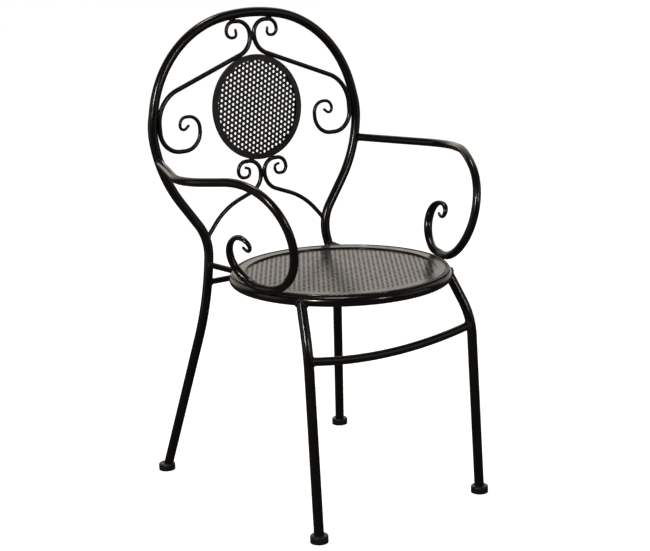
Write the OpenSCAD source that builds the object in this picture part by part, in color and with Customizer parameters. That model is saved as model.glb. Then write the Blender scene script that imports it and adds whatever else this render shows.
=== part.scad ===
// Wrought iron armchair: bent steel tube, forged rod scrolls and perforated sheet.
// The origin is on the floor, under the middle of the chair. The sitter looks along -Y, and +X is the sitter's left.

/* [Tubes and rods] */
// Outside diameter of the tube of the back frame, the legs and the seat ring
tube_d = 19; // [16:0.5:24]
// Outside diameter of the arm tube
arm_d = 16; // [12:0.5:20]
// Outside diameter of the front stretcher
stretcher_d = 16; // [12:0.5:18]
// Diameter of the rear cross bar and of the two rear brackets
bar_d = 12; // [8:0.5:15]
// Diameter of the scroll rod along its long straight runs
rod_d = 9.6; // [8:0.2:11]
// Diameter of the scroll rod where a loop begins
loop_d = 8.8; // [7:0.2:9.6]
// Diameter of the drawn-out tips of the scrolls
tip_d = 5; // [4:0.2:7]
// Diameter of the drawn-out tips of the arms
arm_tip_d = 6; // [4.5:0.5:9]

/* [Seat] */
// Height of the centre line of the seat ring
ring_z = 440; // [400:5:470]
// Radius of the centre line of the seat ring
ring_r = 206; // [196:1:220]
// Place of the seat's centre, front to back
seat_y = -65; // [-75:1:-55]
// How far the seat rim stands out past the ring's centre line
rim_over = 3; // [1:0.5:6]
// Width of the seat rim, from its edge to the perforated panel
rim_w = 24; // [20:1:34]
// Thickness of the seat rim
rim_t = 3; // [2:0.25:5]
// Thickness of the perforated sheet
sheet_t = 1.5; // [1:0.25:2.5]
// How far the perforated panels lap under their rims
panel_lap = 9; // [6:0.5:11]

/* [Perforation] */
// Diameter of a hole
hole_d = 5.6; // [4:0.2:7]
// Distance between the holes of a row
hole_pitch = 10.5; // [9:0.5:14]

/* [Back frame] */
// Height of the centre of the round back panel
plate_z = 740; // [725:1:755]
// Place of the back panel, front to back
back_y = 209; // [194:1:224]
// Lean of the back, in degrees
rake = 4.3; // [0:0.1:12]
// Half width at the waist
waist_x = 139; // [134:1:150]
// How far the waist lies below the panel's centre
waist_drop = 250; // [240:1:256]
// Half width of the low shoulder bend
shoulder_x = 234; // [224:1:244]
// How far the low shoulder bend lies below the panel's centre
shoulder_drop = 118; // [112:1:128]
// Half width of the widest bend of the arch
side_x = 247; // [243:1:256]
// How far the widest bend of the arch lies below the panel's centre
side_drop = 24; // [14:1:28]
// Half width of the upper bends of the arch
upper_x = 205; // [196:1:210]
// Height of the upper bends of the arch over the panel's centre
upper_rise = 164; // [160:1:172]
// Height of the top bend of the arch over the upper bends
top_rise = 30; // [26:1:40]

/* [Back panel and scrolls] */
// Radius of the round back panel
plate_r = 106; // [96:1:112]
// Width of the back panel's rim
plate_band = 12; // [9:0.5:18]
// Thickness of the back panel's rim
plate_t = 4; // [3:0.25:6]
// Slope of the upper scrolls' long straight run, in degrees
run_angle = 20.5; // [17:0.5:23]
// Radius of the crown loops
crown_r = 28; // [24:1:30]
// Radius of the loops below the back panel
heart_r = 26; // [23:0.5:27]

/* [Legs] */
// Half distance between the rear feet
rear_foot_x = 222.5; // [205:0.5:240]
// Place of the rear feet, front to back
rear_foot_y = 263.5; // [243:0.5:280]
// How far a front foot stands outside its leg's place on the ring
front_splay = 21.5; // [14:0.5:32]
// How far a front foot stands before its leg's place on the ring
front_reach = 67; // [54:1:80]
// Height of the bend of the front legs
front_knee_z = 354; // [340:1:366]
// Height at which the front stretcher meets the legs
stretcher_z = 339; // [300:1:344]
// How far the front stretcher dips in its middle
stretcher_dip = 36; // [10:1:50]
// Height of the rear cross bar
bar_z = 405; // [390:1:420]
// Diameter of the foot caps
cap_d = 34; // [30:1:44]
// Height of the foot caps
cap_h = 14; // [11:0.5:24]

/* [Arms] */
// Height at which the arms leave the back frame
arm_z = 654; // [645:1:665]
// Half width over the arms' widest bend
arm_x = 317; // [300:1:330]
// Place of the arms' front bend, front to back
arm_front_y = -266; // [-281:1:-251]
// How far the arms' low bends lie outside the seat ring's centre line
arm_out = 10.5; // [9:0.5:12]

/* [Hidden] */
$fn = 48;

iron = [0.09, 0.085, 0.08];
sheet_grey = [0.42, 0.4, 0.37];
cap_black = [0.05, 0.05, 0.055];

gap = 0.1;        // between welded pieces
cope_gap = 0.06;  // round the tube in a coped end
lap = 0.3;        // straights run this far into their bends
ease = 0.3;       // and are this much thinner
straight = 1;     // shortest straight between two bends
step = 4.5;       // distance between the rings of a drawn-out end
sides = 12;       // sides of a drawn-out end
cap_floor = 3;
tube_r = tube_d / 2;
arm_r = arm_d / 2;

// Bent tubes: a list of corners p, and a bend radius r for each inner corner

function unit(v) = v / norm(v);
function turn_at(p, i) = 180 - acos(max(-1, min(1, unit(p[i - 1] - p[i]) * unit(p[i + 1] - p[i]))));
function setback(p, r, i) = i <= 0 || i >= len(p) - 1 ? 0 : r[i - 1] * tan(turn_at(p, i) / 2);
function bend_start(p, r, i) = p[i] + unit(p[i - 1] - p[i]) * setback(p, r, i);
function bend_centre(p, r, i) =
    p[i] + unit(unit(p[i - 1] - p[i]) + unit(p[i + 1] - p[i])) * r[i - 1] / cos(turn_at(p, i) / 2);
function bend_x(p, r, i) = unit(bend_start(p, r, i) - bend_centre(p, r, i));
function bend_y(p, i) = unit(p[i] - p[i - 1]);
function on_bend(p, r, i, a) =
    bend_centre(p, r, i) + r[i - 1] * (cos(a) * bend_x(p, r, i) + sin(a) * bend_y(p, i));

// The radii that leave a straight between neighbouring bends
function room(p, r, i) = (norm(p[i] - p[i - 1]) - straight) / max(straight, setback(p, r, i - 1) + setback(p, r, i));
function fitting(p, r) = [for (i = [1:len(p) - 2]) r[i - 1] * min(1, room(p, r, i), room(p, r, i + 1))];

// Point at height z of a rising bend, of a line, and of a path that rises all the way
function bend_at_z(p, r, i, z) =
    let (x = bend_x(p, r, i).z, y = bend_y(p, i).z, reach = r[i - 1] * norm([x, y]))
    on_bend(p, r, i, atan2(y, x) - acos((z - bend_centre(p, r, i).z) / reach));
function bend_end(p, r, i) = p[i] + unit(p[i + 1] - p[i]) * setback(p, r, i);
function line_at_z(a, b, z) = a + (b - a) * (z - a.z) / (b.z - a.z);
function path_at_z(p, r, z, i = 1) =
    i == len(p) - 1 || z < bend_start(p, r, i).z ? line_at_z(p[i - 1], p[i], z) :
    z < bend_end(p, r, i).z ? bend_at_z(p, r, i, z) : path_at_z(p, r, z, i + 1);

function first(p, n) = [for (i = [0:n - 1]) p[i]];
function flipped(p) = [for (q = p) [-q.x, q.y, q.z]];
function reversed(p) = [for (i = [len(p) - 1:-1:0]) p[i]];
function place(o, x, y, z) = [[x.x, y.x, z.x, o.x], [x.y, y.y, z.y, o.y], [x.z, y.z, z.z, o.z], [0, 0, 0, 1]];
function side_of(t) = unit(cross(t, abs(t.z) < 0.9 ? [0, 0, 1] : [1, 0, 0]));
function facets(r) = max(48, round(r));

module rod_between(a, b, d) {
    t = unit(b - a);
    s = side_of(t);
    multmatrix(place(a, s, cross(t, s), t)) cylinder(d = d, h = norm(b - a));
}

module bend(p, r, i, d) {
    x = bend_x(p, r, i);
    y = bend_y(p, i);
    multmatrix(place(bend_centre(p, r, i), x, y, cross(x, y)))
        rotate_extrude(angle = turn_at(p, i), $fn = facets(r[i - 1]))
            translate([r[i - 1], 0]) circle(d = d, $fn = 48);
}

module bent(p, r, d) {
    last = len(p) - 2;
    for (i = [0:last]) {
        t = unit(p[i + 1] - p[i]);
        a = p[i] + t * (setback(p, r, i) - (i > 0 ? lap : 0));
        b = p[i + 1] - t * (setback(p, r, i + 1) - (i < last ? lap : 0));
        rod_between(a, b, d - ease);
    }
    if (last > 0) for (i = [1:last]) bend(p, r, i, d);
}

// Room for a tube where something of diameter d meets it at height z
module cope(p, r, tube, z, d) {
    low = z - 0.8 * d;
    high = z + 0.8 * d;
    full = tube + 2 * cope_gap;
    for (i = [1:len(p) - 2]) {
        a = bend_start(p, r, i);
        b = bend_end(p, r, i);
        before = i > 1 ? bend_end(p, r, i - 1) : p[0];
        if (a.z < high && b.z > low) bend(p, r, i, full);
        if (before.z < high && a.z > low) {
            t = unit(a - before) * lap;
            rod_between(before - t, a + t, full - ease);
        }
    }
}

// Drawn-out ends: the same corners and radii, from bend k on, swept with a falling diameter

function bend_points(p, r, i) =
    let (turn = turn_at(p, i), n = max(3, ceil(r[i - 1] * turn * PI / 180 / step)))
    [for (k = [0:n]) on_bend(p, r, i, turn * k / n)];
function swept_path(p, r, k) = concat(
    [bend_start(p, r, k) - unit(p[k] - p[k - 1]) * lap],
    [for (i = [k:len(p) - 2]) each bend_points(p, r, i)],
    [p[len(p) - 1]]
);
function lengths(c, i = 1, sum = 0, out = [0]) =
    i >= len(c) ? out :
    let (s = sum + norm(c[i] - c[i - 1])) lengths(c, i + 1, s, concat(out, [s]));
function heading(c, i) = unit(c[min(len(c) - 1, i + 1)] - c[max(0, i - 1)]);

function drawn(d) = d - 2 * ease;

module drawn_out(p, r, k, full_d, end_d, across) {
    d = drawn(full_d);
    c = swept_path(p, r, k);
    s = lengths(c);
    total = s[len(c) - 1];
    dome = [[0, 1], [0.32, 0.82], [0.46, 0.42]];
    rings = concat(
        [for (i = [0:len(c) - 2]) [c[i], heading(c, i), d + (end_d - d) * pow(s[i] / total, 1.3)]],
        [for (q = dome) let (t = heading(c, len(c) - 1)) [c[len(c) - 1] + t * q[0] * end_d, t, end_d * q[1]]]
    );
    points = [for (q = rings)
        let (n = unit(across - q[1] * (across * q[1])), b = cross(q[1], n))
        for (j = [0:sides - 1]) q[0] + (cos(360 * j / sides) * n + sin(360 * j / sides) * b) * q[2] / 2];
    walls = [for (i = [0:len(rings) - 2]) for (j = [0:sides - 1])
        let (a = i * sides + j, b = i * sides + (j + 1) % sides)
        each [[a, b + sides, b], [a, a + sides, b + sides]]];
    start = [for (j = [1:sides - 2]) [0, j, j + 1]];
    m = (len(rings) - 1) * sides;
    end = [for (j = [1:sides - 2]) [m, m + j + 1, m + j]];
    polyhedron(points = points, faces = concat(walls, start, end));
}

module scrolled(p, r, k, d, end_d, across) {
    bent(concat(first(p, k), [bend_start(p, r, k)]), first(concat(r, [0]), k - 1), d);
    drawn_out(p, r, k, d, end_d, across);
}

// Back frame: one tube from foot to foot

back_up = [0, sin(rake), cos(rake)];
back_out = [0, -cos(rake), sin(rake)];
function in_back(x, w) = [x, back_y, plate_z] + [0, w * back_up.y, w * back_up.z];
module in_back_plane() { translate([0, back_y, plate_z]) rotate([90 - rake, 0, 0]) children(); }

rear_knee = [159.5, 171.5, 369.5];
rear_knee_r = 420;
waist_r = 90;
shoulder_r = 268;
side_r = 140;
upper_r = 215;
top_r = 380;
WAIST = 2;
SIDE = 4;
TOP = 6;

// A leg's end, square to the leg, whose lowest edge stands on the floor of its cap
function leg_end(foot, knee) =
    let (t = unit(knee - foot)) foot + t * (cap_floor + gap + tube_r * norm([t.x, t.y])) / t.z;

rear_foot = [rear_foot_x, rear_foot_y, 0];
half_frame = [
    leg_end(rear_foot, rear_knee), rear_knee, in_back(waist_x, -waist_drop), in_back(shoulder_x, -shoulder_drop),
    in_back(side_x, -side_drop), in_back(upper_x, upper_rise)
];
half_radii = [rear_knee_r, waist_r, shoulder_r, side_r, upper_r];
frame = concat(half_frame, [in_back(0, upper_rise + top_rise)], reversed(flipped(half_frame)));
frame_radii = fitting(frame, concat(half_radii, [top_r], reversed(half_radii)));

function on_upright(z) = path_at_z(frame, frame_radii, z);

module back_frame() color(iron) bent(frame, frame_radii, tube_d);
module upright_cut(z, d) cope(first(frame, TOP + 1), frame_radii, tube_d, z, d);

// Seat: ring, rim and perforated panel

function on_ring(a, out = 0, up = 0) =
    [(ring_r + out) * cos(a), seat_y + (ring_r + out) * sin(a), ring_z + up];

rim_bottom = ring_z + tube_r + gap;
rim_outer = ring_r + rim_over;
rim_inner = rim_outer - rim_w;
bead_w = 4;
groove_w = 2.6;
groove_deep = 1;

module ring_tube(d) {
    translate([0, seat_y, ring_z])
        rotate_extrude($fn = 180) translate([ring_r, 0]) circle(d = d, $fn = 48);
}

module seat_ring() color(iron) ring_tube(tube_d);

module seat_rim() color(sheet_grey) translate([0, seat_y, rim_bottom]) rotate_extrude($fn = 180)
    difference() {
        union() {
            translate([rim_inner, 0]) square([rim_w - bead_w / 2, rim_t]);
            translate([rim_outer - bead_w, 0]) square([bead_w, rim_t - bead_w / 4]);
            translate([rim_outer - bead_w / 2, rim_t - bead_w / 4]) scale(0.5) circle(d = bead_w * 2, $fn = 48);
        }
        translate([rim_outer - bead_w - groove_w, rim_t - groove_deep]) square([groove_w, groove_deep + 1]);
        translate([rim_inner, -rim_t]) square([rim_w, rim_t]);
    }

// Holes in rows along the sheet's second axis, staggered row by row
module holes(reach) {
    row = hole_pitch * sin(60);
    n = ceil(reach / row);
    for (i = [-n:n]) {
        shift = i % 2 == 0 ? 0 : hole_pitch / 2;
        for (j = [-n:n])
            if (norm([i * row, j * hole_pitch + shift]) < reach)
                translate([i * row, j * hole_pitch + shift]) circle(d = hole_d, $fn = 16);
    }
}

module seat_panel() color(sheet_grey) translate([0, seat_y, rim_bottom - gap - sheet_t])
    linear_extrude(sheet_t) difference() {
        circle(r = rim_inner + panel_lap, $fn = 180);
        holes(rim_inner - hole_d / 2);
    }

// Front legs, coped under the ring, and the stretcher between them

leg_angle = -33.3;
leg_lean = [-2, 20];
front_foot = [on_ring(leg_angle).x + front_splay, on_ring(leg_angle).y - front_reach, 0];
front_knee = front_foot + [leg_lean.x, leg_lean.y, front_knee_z];
front_leg = [leg_end(front_foot, front_knee), front_knee, on_ring(leg_angle)];
front_leg_radii = fitting(front_leg, [150]);

module front_leg_left() color(iron) difference() {
    bent(front_leg, front_leg_radii, tube_d);
    ring_tube(tube_d + 2 * cope_gap);
}
module front_leg_right() mirror([1, 0, 0]) front_leg_left();

stretcher_end = path_at_z(front_leg, front_leg_radii, stretcher_z);
stretcher = [stretcher_end, [0, stretcher_end.y, stretcher_z - stretcher_dip], flipped([stretcher_end])[0]];
stretcher_bow = 0.96; // share of each half that is bent
stretcher_radii = [stretcher_bow * norm(stretcher[1] - stretcher[0]) / tan(turn_at(stretcher, 1) / 2)];

module front_stretcher() color(iron) difference() {
    bent(stretcher, stretcher_radii, stretcher_d);
    for (side = [0, 1]) mirror([side, 0, 0]) cope(front_leg, front_leg_radii, tube_d, stretcher_z, stretcher_d);
}

// Rear cross bar between the uprights, and the brackets from the uprights to the ring

bar_end = on_upright(bar_z);

module rear_cross_bar() color(iron) difference() {
    rod_between(bar_end, flipped([bar_end])[0], bar_d);
    for (side = [0, 1]) mirror([side, 0, 0]) upright_cut(bar_z, bar_d);
}

bracket_angle = 48;

module rear_bracket_left() color(iron) difference() {
    rod_between(on_upright(ring_z), on_ring(bracket_angle), bar_d);
    upright_cut(ring_z, bar_d);
    ring_tube(tube_d + 2 * cope_gap);
}
module rear_bracket_right() mirror([1, 0, 0]) rear_bracket_left();

// Arms: from the back frame round the front, down onto the ring and back up into a scroll

// Height of the arm over the ring's centre line where it rests on both the ring and the rim
arm_up = max(
    sqrt(pow(tube_r + arm_r + gap, 2) - pow(arm_out, 2)),
    tube_r + gap + rim_t + bead_w / 4 + sqrt(max(0, pow(arm_r + gap, 2) - pow(arm_out - rim_over, 2)))
);
function from_seat(x, y, z) = [ring_r + x, seat_y + y, ring_z + z];
arm = [
    on_upright(arm_z),
    [arm_x, seat_y + 56, arm_z - 1],
    [arm_x - 63, seat_y - 72, arm_z + 8],
    [ring_r, arm_front_y, arm_z - 79],
    on_ring(-25.3, arm_out + 1.9, arm_up - 1.8),
    on_ring(-4.2, arm_out + 4.8, arm_up + 1.2),
    from_seat(33, 37.5, 71),
    from_seat(28.5, -3, 111),
    from_seat(36, -23, 118),
    from_seat(15, -46, 79),
    from_seat(28.5, -14, 93)
];
arm_radii = fitting(arm, [127, 138, 106, 88, 82, 40, 10, 15, 6.5]);
arm_across = [0.949, -0.232, -0.213];
ARM_SCROLL = 6;

module arm_left() color(iron) difference() {
    scrolled(arm, arm_radii, ARM_SCROLL, arm_d, arm_tip_d, arm_across);
    upright_cut(arm_z, arm_d);
}
module arm_right() mirror([1, 0, 0]) arm_left();

// Round back panel

plate_field = plate_r - plate_band;

module back_plate_rim() color(iron) in_back_plane() translate([0, 0, -plate_t / 2]) linear_extrude(plate_t)
    difference() {
        circle(r = plate_r, $fn = 120);
        circle(r = plate_field, $fn = 120);
    }

module back_plate_panel() color(iron) in_back_plane() translate([0, 0, -plate_t / 2 - gap - sheet_t])
    linear_extrude(sheet_t) difference() {
        circle(r = plate_field + panel_lap, $fn = 120);
        holes(plate_field + hole_d / 4);
    }

// Scrolls in the plane of the back: crown loop, straight run over the panel, and side loop

scroll_x = rod_d / 2 + gap;
run_off = plate_r + rod_d / 2 + gap;
function run_w(x) = (run_off - x * sin(run_angle)) / cos(run_angle);

// A bend of the arch: its centre in the plane of the back, and the radius of its inner side
function arch(i) = let (c = bend_centre(frame, frame_radii, i) - in_back(0, 0)) [c.x, c * back_up];
function arch_r(i) = frame_radii[i - 1] - tube_r;

// The crown loop's far turn touches the top of the arch from inside
crown_x = 59.5;
crown_turn_r = 20;
crown_h = 34;
crown_reach = arch_r(TOP) - crown_turn_r - loop_d / 2 - gap;
crown_w = arch(TOP).y + sqrt(pow(crown_reach, 2) - pow(crown_x - crown_turn_r, 2)) + crown_turn_r;
crown_mid = crown_w - crown_h;

// The side loop's outer line meets the side of the arch at its lower end, and its upper turn stays inside
side_low = -70;
side_turn_r = 42;
side_top_r = 70;
side_end_w = side_low + side_turn_r - arch(SIDE).y;
side_touch = arch(SIDE).x + sqrt(pow(arch_r(SIDE), 2) - pow(side_end_w, 2)) - rod_d / 2 - gap;
turn_reach = arch_r(SIDE) - rod_d / 2 - gap - side_top_r;
turn_x = arch(SIDE).x + side_top_r;
turn_w = run_off / cos(run_angle) - side_top_r * tan(45 - run_angle / 2) - arch(SIDE).y;
slope = tan(run_angle);
slope_2 = 1 + slope * slope;
turn_b = turn_x + turn_w * slope;
turn_touch = (turn_b + sqrt(pow(turn_b, 2) - slope_2 * (pow(turn_x, 2) + pow(turn_w, 2) - pow(turn_reach, 2)))) / slope_2;
side_line = min(side_touch, turn_touch);

top_scroll = [
    in_back(crown_x - 22.5, crown_mid + 18.5), in_back(crown_x - 25.5, crown_mid), in_back(crown_x, crown_mid),
    in_back(crown_x, crown_w), in_back(scroll_x, crown_w), in_back(scroll_x, run_w(scroll_x)),
    in_back(side_line, run_w(side_line)), in_back(side_line, side_low), in_back(side_line - 90, side_low),
    in_back(side_line - 90, side_low + 66.5), in_back(side_line - 45.5, side_low + 66.5),
    in_back(side_line - 45.5, side_low + 33), in_back(side_line - 65, side_low + 49)
];
top_scroll_radii = fitting(top_scroll, [
    7.5, 13, crown_turn_r, crown_r, 15, side_top_r, side_turn_r, 37.5, 23.5, 15.5, 8
]);
CROWN = 4;
SIDE_LOOP = 7;

module scroll_run() {
    p = top_scroll;
    r = top_scroll_radii;
    // The corners between the crown loop and the side loop, with their bends
    run = concat([p[CROWN] - unit(p[CROWN] - p[CROWN + 1]) * setback(p, r, CROWN)],
        [p[CROWN + 1], p[CROWN + 2]], [bend_start(p, r, SIDE_LOOP)]);
    bent(run, [r[CROWN], r[CROWN + 1]], rod_d);
}

module top_scroll_left() color(iron) {
    scroll_run();
    drawn_out(top_scroll, top_scroll_radii, SIDE_LOOP, rod_d, tip_d, back_out);
    drawn_out(reversed(top_scroll), reversed(top_scroll_radii), len(top_scroll) - 1 - CROWN, rod_d, tip_d, back_out);
}
module top_scroll_right() mirror([1, 0, 0]) top_scroll_left();

// Lower scrolls, from the waist of the frame up to the lower edge of the back panel

heart_line = loop_d / 2 + gap;
heart_reach = plate_r + drawn(loop_d) / 2 + gap + heart_r;
heart_w = heart_r - sqrt(pow(heart_reach, 2) - pow(heart_line + heart_r, 2));
heart_wide = heart_line + 2 * heart_r + 1.5;
heart_low = heart_w - 1.25 * heart_r;
waist_mid = on_bend(frame, frame_radii, WAIST, turn_at(frame, WAIST) / 2);

lower_scroll = [
    waist_mid, in_back(waist_x - 42, heart_w - 94), in_back(heart_line, heart_w - 50), in_back(heart_line, heart_w),
    in_back(heart_wide, heart_w), in_back(heart_wide, heart_low), in_back(heart_wide - 24, heart_low),
    in_back(heart_wide - 20, heart_low + 17.5)
];
lower_scroll_radii = fitting(lower_scroll, [60, 26, heart_r, 19, 12, 7.5]);
HEART = 3;

module lower_scroll_left() color(iron) difference() {
    scrolled(lower_scroll, lower_scroll_radii, HEART, loop_d, tip_d, back_out);
    upright_cut(waist_mid.z, loop_d);
}
module lower_scroll_right() mirror([1, 0, 0]) lower_scroll_left();

// Foot caps, with a socket for the leg

module foot_cap(foot, end, knee) color(cap_black) difference() {
    edge = 3;
    translate([foot.x, foot.y, 0]) rotate_extrude($fn = 60) {
        square([cap_d / 2 - edge, cap_h]);
        square([cap_d / 2, cap_h - edge]);
        translate([cap_d / 2 - edge, cap_h - edge]) circle(r = edge, $fn = 48);
    }
    t = unit(knee - end);
    rod_between(end - t * gap, end + t * 2 * cap_h, tube_d + 2 * gap);
}

module foot_cap_front_left() foot_cap(front_foot, front_leg[0], front_knee);
module foot_cap_front_right() mirror([1, 0, 0]) foot_cap_front_left();
module foot_cap_rear_left() foot_cap(rear_foot, half_frame[0], rear_knee);
module foot_cap_rear_right() mirror([1, 0, 0]) foot_cap_rear_left();

back_frame();
front_leg_left();
front_leg_right();
front_stretcher();
rear_cross_bar();
rear_bracket_left();
rear_bracket_right();
seat_ring();
seat_rim();
seat_panel();
arm_left();
arm_right();
back_plate_rim();
back_plate_panel();
top_scroll_left();
top_scroll_right();
lower_scroll_left();
lower_scroll_right();
foot_cap_front_left();
foot_cap_front_right();
foot_cap_rear_left();
foot_cap_rear_right();
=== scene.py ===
"""Looks of a wrought iron armchair: powder coated tube, forged scrolls and perforated sheet, on a pale floor.

Lengths are in metres unless a name or a docstring says millimetres. The sitter looks along -Y, and +X is the
sitter's left.
"""

import logging
import math
from dataclasses import dataclass, field, replace
from enum import Enum, IntEnum
from typing import Sequence

import bmesh
import bpy
from mathutils import Matrix, Vector


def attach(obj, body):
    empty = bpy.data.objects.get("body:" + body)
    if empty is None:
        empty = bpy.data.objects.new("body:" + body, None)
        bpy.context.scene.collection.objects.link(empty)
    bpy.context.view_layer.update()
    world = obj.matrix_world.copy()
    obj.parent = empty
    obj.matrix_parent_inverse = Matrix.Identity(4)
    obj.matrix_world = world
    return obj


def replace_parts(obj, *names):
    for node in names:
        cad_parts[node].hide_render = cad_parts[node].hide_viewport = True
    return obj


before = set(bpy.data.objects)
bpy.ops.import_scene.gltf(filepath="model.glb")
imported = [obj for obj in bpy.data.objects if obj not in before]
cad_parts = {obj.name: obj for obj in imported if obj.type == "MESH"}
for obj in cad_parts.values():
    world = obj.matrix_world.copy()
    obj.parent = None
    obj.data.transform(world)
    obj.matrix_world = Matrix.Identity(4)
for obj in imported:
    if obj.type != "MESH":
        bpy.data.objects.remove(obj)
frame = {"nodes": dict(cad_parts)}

log = logging.getLogger("armchair")

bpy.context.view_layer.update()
MM = 0.001


class Side(Enum):
    """The sitter's left or right, with the sign of X there."""

    LEFT = 1
    RIGHT = -1

    @property
    def word(self) -> str:
        """The side's name as pieces carry it."""
        return self.name.lower()


class Slot(Enum):
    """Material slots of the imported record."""

    IRON = "black_iron"
    SHEET = "seat_sheet"


class Crease(Enum):
    """The angle in degrees past which an edge stays sharp, by what a piece is made of."""

    BAR = 50.0
    SHEET = 30.0
    WELD = 180.0


class Bend(IntEnum):
    """Bends of the back frame's left half, counted from its foot. A front leg has a knee too."""

    KNEE = 1
    WAIST = 2
    FLARE = 3
    SIDE = 4
    SHOULDER = 5
    CROWN = 6


def at(x: float, y: float, z: float) -> Vector:
    """A point given in millimetres."""
    return Vector((x, y, z)) * MM


def direction(start: Vector, end: Vector) -> Vector:
    """The unit vector from start to end."""
    return (end - start).normalized()


def mirrored(point: Vector, side: Side) -> Vector:
    """The point, or its mirror image in X on the right side."""
    return Vector((point.x * side.value, point.y, point.z))


@dataclass(frozen=True)
class Station:
    """A place on a route: its point, the way on, and its distance from the start."""

    point: Vector
    heading: Vector
    travelled: float


@dataclass(frozen=True)
class Route:
    """A bent bar's centre line: corners, with a bend radius at each inner corner."""

    corners: tuple[Vector, ...]
    radii: tuple[float, ...]

    @classmethod
    def of(cls, corners: Sequence[Vector], radii_mm: Sequence[float]) -> "Route":
        """A route whose bends are made tighter where they would meet.

        Args:
            corners: Its corners, in metres.
            radii_mm: The bend radius wished at each inner corner, in millimetres.

        Returns:
            The route.
        """
        wish = cls(tuple(corners), tuple(r * MM for r in radii_mm))
        inner = range(1, len(corners) - 1)
        return cls(wish.corners, tuple(
            wish.radii[i - 1] * min(1.0, wish.room(i), wish.room(i + 1)) for i in inner
        ))

    def room(self, i: int) -> float:
        """The share of the bends' setbacks that fits between corners i - 1 and i.

        Args:
            i: The later of the two corners.

        Returns:
            The share, over 1 where the bends leave more than a short straight.
        """
        straight = 1 * MM
        taken = max(straight, self.setback(i - 1) + self.setback(i))
        return ((self.corners[i] - self.corners[i - 1]).length - straight) / taken

    def mirror(self, side: Side) -> "Route":
        """The route on the given side."""
        return Route(tuple(mirrored(p, side) for p in self.corners), self.radii)

    def radius(self, i: int) -> float:
        """The radius of the bend at corner i."""
        return self.radii[i - 1]

    def turn(self, i: int) -> float:
        """The angle that the bend at corner i turns through."""
        a = self.corners[i] - self.corners[i - 1]
        return a.angle(self.corners[i + 1] - self.corners[i])

    def setback(self, i: int) -> float:
        """How far before corner i its bend begins.

        Args:
            i: The corner, which has no bend if it is an end of the route.

        Returns:
            The distance along the straight.
        """
        if i in (0, len(self.corners) - 1):
            return 0.0
        return self.radius(i) * math.tan(self.turn(i) / 2)

    def centre(self, i: int) -> Vector:
        """The centre that a bend turns round.

        Args:
            i: The bend's corner.

        Returns:
            The centre.
        """
        corner = self.corners[i]
        inward = direction(corner, self.corners[i - 1]) + direction(corner, self.corners[i + 1])
        return corner + inward.normalized() * self.radius(i) / math.cos(self.turn(i) / 2)

    def on_bend(self, i: int, angle: float) -> Vector:
        """A point of a bend.

        Args:
            i: The bend's corner.
            angle: The angle that the bend has turned through there.

        Returns:
            The point.
        """
        back = direction(self.corners[i], self.corners[i - 1])
        centre = self.centre(i)
        start = direction(centre, self.corners[i] + back * self.setback(i))
        return centre + self.radius(i) * (math.cos(angle) * start - math.sin(angle) * back)

    def at_height(self, i: int, z: float) -> Vector:
        """The point of a rising bend at a height, found by halving its angle.

        Args:
            i: The bend's corner.
            z: The height.

        Returns:
            The point.
        """
        halvings = 40
        low, high = 0.0, self.turn(i)
        for _ in range(halvings):
            middle = (low + high) / 2
            if self.on_bend(i, middle).z < z:
                low = middle
            else:
                high = middle
        return self.on_bend(i, low)

    def points(self, step: float) -> list[Vector]:
        """Points along the route.

        Args:
            step: Their distance in the bends. On the straights it is up to five times that.

        Returns:
            The points, with both ends.
        """
        fewest_chords = 3
        found = [self.corners[0]]
        for i in range(1, len(self.corners) - 1):
            chords = max(fewest_chords, math.ceil(self.radius(i) * self.turn(i) / step))
            bend = [self.on_bend(i, self.turn(i) * k / chords) for k in range(chords + 1)]
            found += self.fill(found[-1], bend[0], 5 * step) + bend
        return found + self.fill(found[-1], self.corners[-1], 5 * step) + [self.corners[-1]]

    @staticmethod
    def fill(a: Vector, b: Vector, step: float) -> list[Vector]:
        """Points between a and b, at most a step apart, without them."""
        count = math.ceil((b - a).length / step)
        return [a.lerp(b, k / count) for k in range(1, count)]

    def stations(self, step: float) -> list[Station]:
        """The route's points with their headings and distances."""
        return stations_along(self.points(step))


@dataclass(frozen=True)
class Flow:
    """A line of steady bending that control points draw, as a uniform cubic B-spline does.

    It starts at the second control point, where the first three lie in a line at equal distances.
    """

    controls: tuple[Vector, ...]

    def points(self, pieces: int) -> list[Vector]:
        """Points along the flow.

        Args:
            pieces: How many there are for each control point from the fourth on.

        Returns:
            The points, with both ends.
        """
        found = []
        for i in range(len(self.controls) - 3):
            found += [self.within(i, k / pieces) for k in range(pieces)]
        return found + [self.within(len(self.controls) - 4, 1.0)]

    def within(self, i: int, t: float) -> Vector:
        """A point of one stretch of the flow.

        Args:
            i: The stretch, by its first control point.
            t: The share of the stretch that lies before the point.

        Returns:
            The point.
        """
        a, b, c, d = self.controls[i:i + 4]
        early = (1 - t) ** 3 * a + (3 * t ** 3 - 6 * t ** 2 + 4) * b
        return (early + (-3 * t ** 3 + 3 * t ** 2 + 3 * t + 1) * c + t ** 3 * d) / 6


def stations_along(points: Sequence[Vector]) -> list[Station]:
    """Gives the points of a line their headings and distances.

    Args:
        points: The points in order. Of those that all but coincide, the first stays.

    Returns:
        The stations.
    """
    nearest = 0.05 * MM
    clean = [points[0]]
    for p in points[1:]:
        if (p - clean[-1]).length > nearest:
            clean.append(p)
    found, travelled = [], 0.0
    for i, p in enumerate(clean):
        before, after = clean[max(0, i - 1)], clean[min(len(clean) - 1, i + 1)]
        travelled += (p - before).length if i else 0.0
        found.append(Station(p, direction(before, after), travelled))
    return found


@dataclass(frozen=True)
class Section:
    """One section of a forged bar: a station and its half width and half depth."""

    station: Station
    width: float
    depth: float

    def turned(self) -> "Section":
        """The same section, facing the other way."""
        return replace(self, station=replace(self.station, heading=-self.station.heading))


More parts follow.
